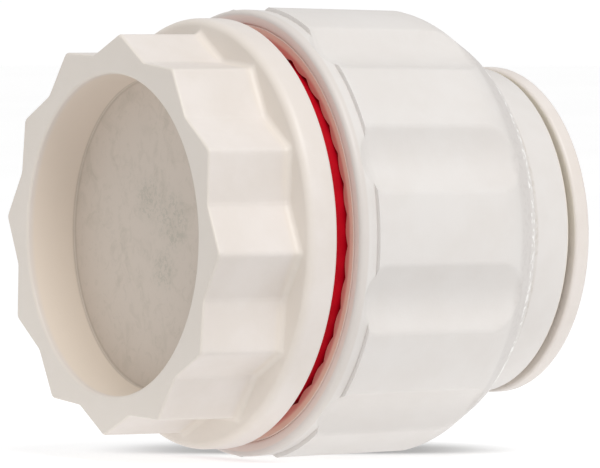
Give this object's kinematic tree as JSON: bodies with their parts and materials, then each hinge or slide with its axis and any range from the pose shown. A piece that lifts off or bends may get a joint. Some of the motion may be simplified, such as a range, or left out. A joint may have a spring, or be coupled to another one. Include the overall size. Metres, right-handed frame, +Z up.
{
  "type": "push-fit pipe stop end",
  "caption": "White plastic push-fit stop end for pipe: closed body with a cup and pointed hand grip, red unlocked-indicator ring, and a fluted cap that twists to lock a toothed release collet.",
  "frame": {"origin": "on the fitting's axis, at half its overall length", "axes": "+X along the axis from the closed end towards the pipe's mouth, +Z up, +Y to the far side"},
  "size_m": [0.0542, 0.053, 0.0526],
  "materials": {
    "white_acetal": "satin moulded white",
    "collet_acetal": "satin moulded white",
    "red_indicator": "satin moulded red",
    "rubber_seal": "matt black moulded rubber",
    "stainless_steel": "bright stainless strip"
  },
  "bodies": {
    "body": {"end_body": "white_acetal", "indicator_ring": "red_indicator", "o_ring": "rubber_seal"},
    "washer": {"spacer_washer": "white_acetal"},
    "cap": {"twist_cap": "white_acetal"},
    "collet": {"collet": "collet_acetal", "grab_tooth_01": "stainless_steel", "grab_tooth_02": "stainless_steel", "grab_tooth_03": "stainless_steel", "grab_tooth_04": "stainless_steel", "grab_tooth_05": "stainless_steel", "grab_tooth_06": "stainless_steel", "grab_tooth_07": "stainless_steel", "grab_tooth_08": "stainless_steel", "grab_tooth_09": "stainless_steel", "grab_tooth_10": "stainless_steel", "grab_tooth_11": "stainless_steel", "grab_tooth_12": "stainless_steel"}
  },
  "joints": [
    {"name": "cap_advance", "type": "slide", "parent": "body", "child": "washer", "axis": [-1, 0, 0], "range_m": [0, 0.00225]},
    {"name": "cap_twist", "type": "hinge", "parent": "washer", "child": "cap", "pos_m": [0, 0, 0], "axis": [-1, 0, 0], "range_deg": [0, 90]},
    {"name": "collet_slide", "type": "slide", "parent": "cap", "child": "collet", "axis": [-1, 0, 0], "range_m": [-0.0008, 0.00055]}
  ],
  "couplings": [
    {"joint": "cap_advance", "follows": "cap_twist", "m_per_rad": 0.0014324}
  ]
}
